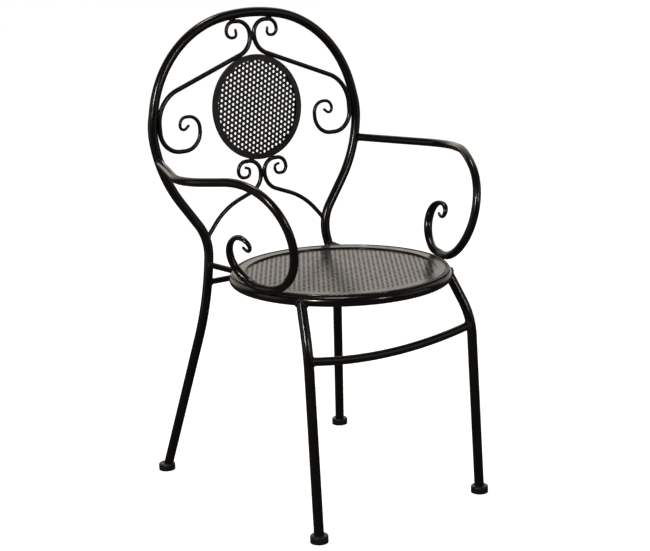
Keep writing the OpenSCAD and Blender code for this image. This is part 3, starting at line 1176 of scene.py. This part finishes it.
@dataclass
class Arms:
    """The two arms, each a bent tube whose end is drawn out into a scroll.

    Lengths are in millimetres. The arm passes the ring on the line between two places by it, each given as an
    angle in degrees and how far out and up it lies. The scroll starts at a share of the way. The tube starts
    in the upright, at a share of its radius from its centre line.
    """

    frame: Frame
    diameter: float = 16.0
    tip: float = 5.4
    across: Vector = field(default_factory=lambda: Vector((0.89, -0.42, -0.18)))
    arm_z: float = 654.0
    ring_from: tuple[float, float, float] = (-25.3, 12.4, 14.86)
    ring_to: tuple[float, float, float] = (-4.2, 15.3, 17.86)
    ring_share: float = 0.56
    stride: float = 13.0
    tail: float = 190.0
    width_power: float = 1.15
    depth_power: float = 2.5
    swell: float = 2.7
    buried: float = 0.6
    step: float = 3.0
    pieces: int = 9
    sides: int = 28

    def beside_ring(self) -> tuple[Vector, Vector]:
        """The straight along which the left arm passes its seat on the ring.

        Returns:
            Its ends, of which the second starts the scroll.
        """
        places = (self.ring_from, self.ring_to)
        near, far = (self.frame.on_ring(math.radians(angle), out, up) for angle, out, up in places)
        return near, near.lerp(far, self.ring_share)

    def route(self) -> Route:
        """The left arm's centre line up to the scroll.

        Returns:
            The route from the upright to the ring.
        """
        start = self.frame.upright().at_height(Bend.FLARE, self.arm_z * MM)
        corners = [
            start, at(317, -9, self.arm_z - 1), at(254, -137, self.arm_z + 8), at(206, -266, 575),
            *self.beside_ring(),
        ]
        return Route.of(corners, (127, 138, 106, 88))

    def end_scroll(self) -> Flow:
        """The rest of the left arm's centre line.

        Returns:
            The flow from the ring up and over to the tip.
        """
        before, start = self.beside_ring()
        stride = direction(before, start) * self.stride * MM
        return Flow((
            start - stride, start, start + stride, at(214.5, -85, 459.5), at(221.2, -66.5, 470.7),
            at(229.2, -49.8, 487.6), at(236.2, -42.6, 510.5), at(239.5, -49.2, 534.5),
            at(238.8, -68.7, 551.3), at(237.9, -93.4, 552), at(230.2, -107, 539), at(227, -99.6, 523.3),
            at(229.9, -82.6, 528.8), at(239.8, -69.7, 552),
        ))

    def build(self, finishes: Finishes) -> None:
        """Makes both arms, in place of their CAD nodes.

        Args:
            finishes: The chair's materials.
        """
        line = self.route().points(self.step * MM) + self.end_scroll().points(self.pieces)
        tail = self.tail * MM
        for side in Side:
            stations = stations_along([mirrored(p, side) for p in line])
            taper = Taper(self.diameter, self.tip, stations[-1].travelled - tail, tail, self.width_power,
                          self.depth_power, self.swell)
            shown = [s for s in stations if s.travelled > self.frame.tube_r * self.buried]
            sections = [taper.section(s) for s in shown]
            bm = bmesh.new()
            forge(bm, sections + rounded_tip(sections[-1]), mirrored(self.across, side), self.sides)
            piece = finished(f"arm_{side.word}_tube", bm, Slot.IRON, finishes.tube)
            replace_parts(piece, f"arm_{side.word}")


@dataclass
class Scrolls:
    """The forged rods of the back: two upper and two lower scrolls.

    Lengths are in millimetres. The lower scroll's heart is its bend beside the panel's rim, and its rod
    starts at a share of its first straight. The crown and side bends are the upper scroll's that touch the
    arch.
    """

    frame: Frame
    rod: float = 9.6
    loop: float = 8.8
    tip: float = 5.6
    plate_r: float = 106.0
    run_angle: float = math.radians(20.5)
    crown_x: float = 59.5
    crown_turn: float = 20.0
    crown_h: float = 32.0
    side_turn: float = 70.0
    heart_r: float = 26.0
    heart_press: float = 0.2
    gap: float = 0.1
    crown_taper: float = 150.0
    side_taper: float = 245.0
    lower_taper: float = 125.0
    lower_start: float = 0.11
    crown_bend: int = 3
    side_bend: int = 6
    heart_bend: int = 3
    step: float = 2.2
    sides: int = 20

    def run_w(self, x: float) -> float:
        """Height of the upper scroll's straight run at x, both in millimetres."""
        off = self.plate_r + self.rod / 2 + self.gap
        return (off - x * math.sin(self.run_angle)) / math.cos(self.run_angle)

    def arch(self, i: Bend) -> tuple[float, float, float]:
        """A bend of the upright, seen in the back's plane.

        Args:
            i: The bend.

        Returns:
            Where its centre lies across and up, and its inner radius, in millimetres.
        """
        back, upright = self.frame.back, self.frame.upright()
        centre = upright.centre(i) - back.centre
        return centre.x / MM, centre.dot(back.up) / MM, upright.radius(i) / MM - self.frame.tube / 2

    def side_line(self) -> float:
        """The side loop's outer line, whose upper turn touches the arch.

        Returns:
            Its distance from the middle, in millimetres.
        """
        arch_x, arch_w, inside = self.arch(Bend.SIDE)
        reach = inside - self.rod / 2 - self.gap - self.side_turn
        slope = math.tan(self.run_angle)
        x = arch_x + self.side_turn
        w = self.run_w(0) - self.side_turn * math.tan(math.pi / 4 - self.run_angle / 2) - arch_w
        b, a = x + w * slope, 1 + slope * slope
        return (b + math.sqrt(b * b - a * (x * x + w * w - reach * reach))) / a

    def crown_w(self) -> float:
        """The crown loop's flat top, whose outer turn touches the arch.

        Returns:
            Its height above the panel's centre, in millimetres.
        """
        _, arch_w, inside = self.arch(Bend.CROWN)
        reach = inside - self.crown_turn - self.loop / 2 - self.gap
        return arch_w + math.sqrt(reach ** 2 - (self.crown_x - self.crown_turn) ** 2) + self.crown_turn

    def upper(self) -> Route:
        """The left upper scroll's centre line.

        Returns:
            The route from the crown loop's tip to the side loop's tip.
        """
        spot = self.frame.back.spot
        near, far = self.rod / 2 + self.gap, self.side_line()
        top, wide = self.crown_w(), self.crown_x
        low = top - self.crown_h
        corners = [
            spot(wide - 21.5, low + 15.5), spot(wide - 24, low), spot(wide, low), spot(wide, top),
            spot(near, top), spot(near, self.run_w(near)), spot(far, self.run_w(far)), spot(far, -70),
            spot(far - 90, -70), spot(far - 90, -3.5), spot(far - 45.5, -3.5), spot(far - 45.5, -37),
            spot(far - 65, -21),
        ]
        return Route.of(corners, (7.5, 13, self.crown_turn, 28, 40, self.side_turn, 42, 37.5, 23.5, 15.5, 8))

    def lower(self) -> Route:
        """The left lower scroll's centre line.

        Returns:
            The route from the waist to the loop's tip.
        """
        spot = self.frame.back.spot
        upright = self.frame.upright()
        near = self.loop / 2 + self.gap
        reach = self.plate_r + self.loop / 2 - self.heart_press + self.heart_r
        top = self.heart_r - math.sqrt(reach ** 2 - (near + self.heart_r) ** 2)
        corners = [
            upright.on_bend(Bend.WAIST, upright.turn(Bend.WAIST) / 2), spot(97, top - 88),
            spot(near, top - 54), spot(near, top), spot(57.5, top), spot(57.5, top - 32.5),
            spot(30.5, top - 32.5), spot(30.5, top - 15.5), spot(40.5, top - 12.5),
        ]
        return Route.of(corners, (150, 38, self.heart_r, 19, 12.5, 10.5, 5.5))

    def draw(self, bm: bmesh.types.BMesh, route: Route, full: float, taper_mm: float,
             both_ends: bool) -> None:
        """Draws one rod, tapered towards its tip, or towards both tips.

        Args:
            bm: The mesh that gets the rod.
            route: Its centre line, whose last end is a tip.
            full: Full diameter, in millimetres.
            taper_mm: Length of the last end's taper.
            both_ends: Whether the first end is a tip too.
        """
        stations = route.stations(self.step * MM)
        last = Taper(full, self.tip, stations[-1].travelled - taper_mm * MM, taper_mm * MM)
        sections = [last.section(s) for s in stations]
        if both_ends:
            crown = self.crown_taper * MM
            first = Taper(full, self.tip, 0.0, crown)
            for k, s in enumerate(stations):
                if s.travelled < crown:
                    sections[k] = first.section(replace(s, travelled=crown - s.travelled))
            sections = [s.turned() for s in reversed(rounded_tip(sections[0].turned()))] + sections
        forge(bm, sections + rounded_tip(sections[-1]), self.frame.back.out, self.sides)

    def build(self, finishes: Finishes) -> None:
        """Makes the four scrolls, in place of their CAD nodes.

        Args:
            finishes: The chair's materials.
        """
        lower = self.lower()
        start = lower.corners[0].lerp(lower.corners[1], self.lower_start)
        lower = replace(lower, corners=(start, *lower.corners[1:]))
        rods = [
            ("top_scroll", self.upper(), self.rod, self.side_taper, True),
            ("lower_scroll", lower, self.loop, self.lower_taper, False),
        ]
        for side in Side:
            for name, route, full, taper_mm, both_ends in rods:
                node = f"{name}_{side.word}"
                bm = bmesh.new()
                self.draw(bm, route.mirror(side), full, taper_mm, both_ends)
                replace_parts(finished(f"{node}_rod", bm, Slot.IRON, finishes.forged), node)


@dataclass(frozen=True)
class Bar:
    """A short stretch of a bar or tube: a point of its centre line, its direction and its radius."""

    point: Vector
    along: Vector
    radius: float

    @classmethod
    def at_height(cls, route: Route, bend: Bend, z: float, radius: float) -> "Bar":
        """The stretch of a rising bend at a height.

        Args:
            route: The bar's centre line.
            bend: The bend.
            z: The height.
            radius: The bar's radius.

        Returns:
            The stretch.
        """
        half = 2 * MM
        along = direction(route.at_height(bend, z - half), route.at_height(bend, z + half))
        return cls(route.at_height(bend, z), along, radius)

    def mirror(self, side: Side) -> "Bar":
        """The stretch on the given side."""
        return replace(self, point=mirrored(self.point, side), along=mirrored(self.along, side))


@dataclass(frozen=True)
class Saddle:
    """A rippled weld bead round a bar, the branch, that starts on the centre line of a tube, the main.

    The bead's radius is in millimetres. Its ripples are shares of the radius.
    """

    branch: Bar
    main: Bar
    bead: float = 1.9
    ripple: float = 0.16
    ripple_stops: int = 4
    waver: float = 0.1
    waver_rate: float = 0.9
    stops: int = 72
    sides: int = 10

    def mirror(self, side: Side) -> "Saddle":
        """The bead on the given side."""
        return replace(self, branch=self.branch.mirror(side), main=self.main.mirror(side))

    def line(self) -> list[Vector]:
        """The line along which the branch comes out of the main tube.

        Returns:
            Points once round the branch.
        """
        along, axis = self.branch.along, self.main.along
        u = along.orthogonal().normalized()
        v = along.cross(u)
        leave = along - axis * along.dot(axis)
        points = []
        for k in range(self.stops):
            angle = math.tau * k / self.stops
            start = self.branch.point + (u * math.cos(angle) + v * math.sin(angle)) * self.branch.radius
            off = start - self.main.point
            off -= axis * off.dot(axis)
            b, c = off.dot(leave), off.length_squared - self.main.radius ** 2
            root = math.sqrt(max(0.0, b ** 2 - leave.length_squared * c))
            points.append(start + along * (root - b) / leave.length_squared)
        return points

    def lay(self, bm: bmesh.types.BMesh) -> None:
        """Lays the bead.

        Args:
            bm: The mesh that gets it.
        """
        points, sections = self.line(), []
        for k, p in enumerate(points):
            heading = direction(points[k - 1], points[(k + 1) % self.stops])
            ripple = self.ripple * math.sin(k * math.tau / self.ripple_stops)
            size = self.bead * MM * (1 + ripple + self.waver * math.sin(k * self.waver_rate))
            sections.append(Section(Station(p, heading, 0.0), size, size))
        forge(bm, sections, self.branch.along, self.sides, closed=True)


@dataclass(frozen=True)
class Lump:
    """A short weld bead on a line where two bars touch.

    Its size is its half length, half width and half depth in millimetres.
    """

    centre: Vector
    along: Vector
    size: tuple[float, float, float]
    across: Vector
    ripple: float = 0.10
    ripple_rate: float = 11.0
    waver: float = 0.05
    waver_rates: tuple[float, float] = (9.0, 7.0)

    def mirror(self, side: Side) -> "Lump":
        """The bead on the given side."""
        centre, along, across = (mirrored(v, side) for v in (self.centre, self.along, self.across))
        return replace(self, centre=centre, along=along, across=across)

    def lay(self, bm: bmesh.types.BMesh) -> None:
        """Lays the bead: a ball with waves, stretched along its line.

        Args:
            bm: The mesh that gets it.
        """
        length, width, depth = (s * MM for s in self.size)
        ball = bmesh.ops.create_uvsphere(bm, u_segments=18, v_segments=12, radius=1.0)["verts"]
        rate_x, rate_y = self.waver_rates
        for v in ball:
            ripple = self.ripple * math.sin(v.co.z * self.ripple_rate)
            wave = 1 + ripple + self.waver * math.sin(v.co.x * rate_x + v.co.y * rate_y)
            v.co.x *= wave
            v.co.y *= wave
        shape = placement(self.centre, self.along, self.across, width, depth)
        bmesh.ops.transform(bm, matrix=shape @ Matrix.Diagonal((1, 1, length, 1)), verts=ball)


@dataclass
class Welds:
    """The chair's weld beads, by the joint that they make.

    Each joint is given on the left and laid on both sides. Bead radii and sizes are in millimetres, and so
    are the place out and up from the ring and the heights in the middle of the back.
    """

    frame: Frame
    scrolls: Scrolls
    arms: Arms
    leg_bead: float = 2.6
    bar_bead: float = 1.6
    scroll_bead: float = 1.4
    rest_angle: float = math.radians(-14.8)
    rest_place: tuple[float, float] = (6.2, 8.2)
    rest_across: Vector = field(default_factory=lambda: Vector((0.6, 0, -0.8)))
    rest_size: tuple[float, float, float] = (11.0, 2.6, 3.6)
    run_size: tuple[float, float, float] = (10.0, 1.7, 3.0)
    heart_size: tuple[float, float, float] = (6.0, 1.8, 2.6)
    side_size: tuple[float, float, float] = (9.0, 1.7, 3.2)
    crown_size: tuple[float, float, float] = (8.0, 1.7, 3.2)
    middle_heights: tuple[float, float] = (143.0, -133.3)
    middle_sizes: tuple[tuple[float, float, float], ...] = ((9.0, 1.6, 3.2), (7.0, 1.6, 3.2))

    def on_upright(self, bend: Bend, z: float) -> Bar:
        """The left upright's tube at a height."""
        return Bar.at_height(self.frame.upright(), bend, z, self.frame.tube_r)

    def on_ring(self, angle: float) -> Bar:
        """The seat ring's tube at an angle."""
        along = Vector((-math.sin(angle), math.cos(angle), 0))
        return Bar(self.frame.on_ring(angle), along, self.frame.tube_r)

    def arm(self) -> list[Saddle]:
        """The bead where the arm leaves the upright."""
        main, corners = self.on_upright(Bend.FLARE, self.arms.arm_z * MM), self.arms.route().corners
        return [Saddle(Bar(main.point, direction(*corners[:2]), self.arms.diameter / 2 * MM), main)]

    def front_leg(self) -> list[Saddle]:
        """The bead where the front leg meets the ring.

        Returns:
            The bead, alone in its list.
        """
        _, knee, top = self.frame.front_leg().corners
        branch = Bar(top, direction(top, knee), self.frame.tube_r)
        return [Saddle(branch, self.on_ring(self.frame.leg_angle), self.leg_bead)]

    def stretcher(self) -> list[Saddle]:
        """The bead where the stretcher meets the front leg.

        Returns:
            The bead, alone in its list.
        """
        f = self.frame
        main = Bar.at_height(f.front_leg(), Bend.KNEE, f.stretcher_z * MM, f.tube_r)
        way = Vector((-main.point.x, 0, -f.stretcher_dip * MM)).normalized()
        return [Saddle(Bar(main.point, way, f.stretcher_tube / 2 * MM), main)]

    def cross_bar(self) -> list[Saddle]:
        """The bead where the rear cross bar meets the upright."""
        main = self.on_upright(Bend.KNEE, self.frame.bar_z * MM)
        return [Saddle(Bar(main.point, Vector((-1, 0, 0)), self.frame.bar / 2 * MM), main, self.bar_bead)]

    def bracket(self) -> list[Saddle]:
        """The beads at the ends of the rear bracket.

        Returns:
            The bead on the upright and the bead on the ring.
        """
        upright = self.on_upright(Bend.KNEE, self.frame.ring_centre.z)
        ring = self.on_ring(self.frame.bracket_angle)
        along, radius = direction(upright.point, ring.point), self.frame.bar / 2 * MM
        return [
            Saddle(Bar(upright.point, along, radius), upright, self.bar_bead),
            Saddle(Bar(ring.point, -along, radius), ring, self.bar_bead),
        ]

    def arm_rest(self) -> list[Lump]:
        """The bead where the arm rests on the ring."""
        centre = self.frame.on_ring(self.rest_angle, *self.rest_place)
        return [Lump(centre, self.on_ring(self.rest_angle).along, self.rest_size, self.rest_across)]

    def lower_scroll(self) -> list[Saddle]:
        """The bead where the lower scroll leaves the waist of the upright.

        Returns:
            The bead, alone in its list.
        """
        upright, corners = self.frame.upright(), self.scrolls.lower().corners
        turn = upright.turn(Bend.WAIST)
        before, after = (upright.on_bend(Bend.WAIST, turn * share) for share in (0.48, 0.52))
        main = Bar(corners[0], direction(before, after), self.frame.tube_r)
        branch = Bar(corners[0], direction(*corners[:2]), self.scrolls.loop / 2 * MM)
        return [Saddle(branch, main, self.scroll_bead)]

    def scrollwork(self) -> list[Lump]:
        """The beads where the scrolls touch the panel's rim and the arch.

        Returns:
            The beads, each where a ray from the centre of a round meets it on the way to a scroll.
        """
        scrolls, upright, back = self.scrolls, self.frame.upright(), self.frame.back
        upper, lower = scrolls.upper(), scrolls.lower()
        angle, plate_r = scrolls.run_angle, scrolls.plate_r
        under_run = back.spot(math.sin(angle) * plate_r, math.cos(angle) * plate_r)
        side, crown = (upright.radius(i) - self.frame.tube_r for i in (Bend.SIDE, Bend.CROWN))
        touches = [
            (back.centre, under_run, plate_r * MM, self.run_size),
            (back.centre, lower.centre(scrolls.heart_bend), plate_r * MM, self.heart_size),
            (upright.centre(Bend.SIDE), upper.centre(scrolls.side_bend), side, self.side_size),
            (upright.centre(Bend.CROWN), upper.centre(scrolls.crown_bend), crown, self.crown_size),
        ]
        found = []
        for hub, towards, reach, size in touches:
            ray = direction(hub, towards)
            found.append(Lump(hub + ray * reach, ray.cross(back.out), size, back.out))
        return found

    def build(self, finishes: Finishes) -> None:
        """Makes the beads of each joint, left and right, and those in the middle of the back.

        Args:
            finishes: The chair's materials.
        """
        joints = {
            "arm": self.arm(), "front_leg": self.front_leg(), "stretcher": self.stretcher(),
            "cross_bar": self.cross_bar(), "bracket": self.bracket(), "arm_rest": self.arm_rest(),
            "lower_scroll": self.lower_scroll(), "scrollwork": self.scrollwork(),
        }
        pieces = {
            f"weld_{joint}_{side.word}": [bead.mirror(side) for bead in beads]
            for joint, beads in joints.items() for side in Side
        }
        back = self.frame.back
        pieces["weld_scrolls_middle"] = [
            Lump(back.spot(0, w), back.up, size, back.out)
            for w, size in zip(self.middle_heights, self.middle_sizes)
        ]
        for name, beads in pieces.items():
            bm = bmesh.new()
            for bead in beads:
                bead.lay(bm)
            bmesh.ops.recalc_face_normals(bm, faces=bm.faces)
            finished(name, bm, Slot.IRON, finishes.weld, Crease.WELD)


class Feet:
    """The moulded caps under the legs, which are the CAD nodes themselves."""

    def dress(self, finishes: Finishes) -> None:
        """Gives the caps their plastic.

        Args:
            finishes: The chair's materials.
        """
        for end in ("front", "rear"):
            for side in Side:
                coat(f"foot_cap_{end}_{side.word}", finishes.cap)


@dataclass(frozen=True)
class Lamp:
    """A soft box that looks at the chair: its place, its width and height, and its power in watts."""

    name: str
    place: tuple[float, float, float]
    size: tuple[float, float]
    watts: float
    colour: tuple[float, float, float] = (1.0, 0.94, 0.88)
    target: tuple[float, float, float] = (0, 0, 0.5)

    def hang(self) -> None:
        """Puts the lamp into the scene."""
        data = bpy.data.lights.new(self.name, "AREA")
        data.shape = "RECTANGLE"
        data.size, data.size_y = self.size
        data.energy = self.watts
        data.color = self.colour
        light = add_object(self.name, data)
        light.location = self.place
        light.rotation_mode = "QUATERNION"
        light.rotation_quaternion = (Vector(self.target) - Vector(self.place)).to_track_quat("-Z", "Y")


@dataclass
class Studio:
    """The pale floor, the light and the camera at the photograph's viewing angle.

    The focal length and the picture's centre are in pixels, and the sensor is in millimetres.
    """

    image_width: int = 650
    sensor: float = 36.0
    focal_px: float = 1533.6
    centre_px: tuple[float, float] = (3.1, -1.8)
    place: Vector = field(default_factory=lambda: Vector((-1.679, -2.400, 1.139)))
    azimuth: float = math.radians(-35.228)
    elevation: float = math.radians(13.616)
    roll: float = math.radians(1.614)
    behind_chair: tuple[float, float, float] = (0.56, 0.80, 0.22)
    lamps: tuple[Lamp, ...] = (
        Lamp("key", (-3.0, -1.5, 2.3), (0.35, 0.9), 60.0),
        Lamp("fill", (0.4, -3.3, 1.9), (0.3, 0.9), 14.0),
        Lamp("sweep_right", (2.1, -2.2, 1.5), (2.0, 2.2), 5.5),
        Lamp("sweep_left", (-2.5, 0.9, 1.0), (1.4, 1.8), 4.0),
        Lamp("top", (0.2, 0.4, 3.2), (0.5, 0.5), 12.0),
    )

    def camera(self) -> None:
        """Makes the camera."""
        data = bpy.data.cameras.new("camera")
        data.sensor_width = self.sensor
        data.lens = self.focal_px / self.image_width * self.sensor
        data.shift_x = -self.centre_px[0] / self.image_width
        data.shift_y = self.centre_px[1] / self.image_width
        data.clip_start, data.clip_end = 0.05, 50.0
        camera = add_object("camera", data)
        level = math.cos(self.elevation)
        ahead = Vector((
            -math.sin(self.azimuth) * level, math.cos(self.azimuth) * level, -math.sin(self.elevation),
        ))
        right = Matrix.Rotation(self.roll, 3, ahead) @ ahead.cross(Vector((0, 0, 1))).normalized()
        turn = Matrix((right, right.cross(ahead), -ahead)).transposed().to_4x4()
        camera.matrix_world = Matrix.Translation(self.place) @ turn
        bpy.context.scene.camera = camera

    def world(self) -> None:
        """Makes the room: white for the camera, and for reflections a warm pale set that fades to dark.

        The pale set stands behind the chair.
        """
        world = bpy.data.worlds.new("studio")
        bpy.context.scene.world = world
        tree = fresh_tree(world)
        link = tree.links.new
        out = add_node(tree, "ShaderNodeOutputWorld")
        place = add_node(tree, "ShaderNodeTexCoord")
        behind = add_node(tree, "ShaderNodeVectorMath", operation="DOT_PRODUCT")
        behind.inputs[1].default_value = self.behind_chair
        link(place.outputs["Generated"], behind.inputs[0])
        pale = spread(tree, behind.outputs["Value"], From_Min=0.4, From_Max=0.92, To_Min=0.03, To_Max=0.95,
                      interpolation_type="SMOOTHSTEP")
        lit = add_node(tree, "ShaderNodeBackground", Color=(1, 0.93, 0.85, 1))
        link(pale, lit.inputs["Strength"])
        seen = add_node(tree, "ShaderNodeBackground", Color=(1, 1, 1, 1), Strength=1.0)
        split_by_ray(tree, lit.outputs["Background"], seen.outputs["Background"], out)

    def floor(self) -> None:
        """Makes the floor, which the camera sees near white, with the chair's faint shadow."""
        bm = bmesh.new()
        bmesh.ops.create_grid(bm, x_segments=1, y_segments=1, size=12.0)
        mesh = bpy.data.meshes.new("floor")
        bm.to_mesh(mesh)
        bm.free()
        material = bpy.data.materials.new("floor")
        tree = fresh_tree(material)
        link = tree.links.new
        out = add_node(tree, "ShaderNodeOutputMaterial")
        dim = add_node(tree, "ShaderNodeBsdfDiffuse", Color=(0.12, 0.11, 0.10, 1))
        matt = add_node(tree, "ShaderNodeBsdfDiffuse", Color=(0.9, 0.9, 0.9, 1))
        glow = add_node(tree, "ShaderNodeEmission", Color=(1, 1, 1, 1), Strength=0.88)
        seen = add_node(tree, "ShaderNodeAddShader")
        link(matt.outputs["BSDF"], seen.inputs[0])
        link(glow.outputs["Emission"], seen.inputs[1])
        split_by_ray(tree, dim.outputs["BSDF"], seen.outputs["Shader"], out)
        mesh.materials.append(material)
        add_object("floor", mesh)

    def build(self) -> None:
        """Sets the whole stage."""
        self.camera()
        self.world()
        self.floor()
        for lamp in self.lamps:
            lamp.hang()
        bpy.context.scene.view_settings.view_transform = "Standard"


def main() -> None:
    """Builds the chair's sub-assemblies in order, and the stage."""
    logging.basicConfig(level=logging.INFO, format="%(name)s: %(message)s")
    Studio().build()
    finishes = Finishes.build()
    chair_frame = Frame(BackPlane())
    arms = Arms(chair_frame)
    scrolls = Scrolls(chair_frame)
    chair_frame.build(finishes)
    Seat(chair_frame).build(finishes)
    BackPanel(chair_frame.back).build(finishes)
    Feet().dress(finishes)
    arms.build(finishes)
    scrolls.build(finishes)
    Welds(chair_frame, scrolls, arms).build(finishes)
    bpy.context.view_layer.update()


if __name__ == "__main__":
    main()
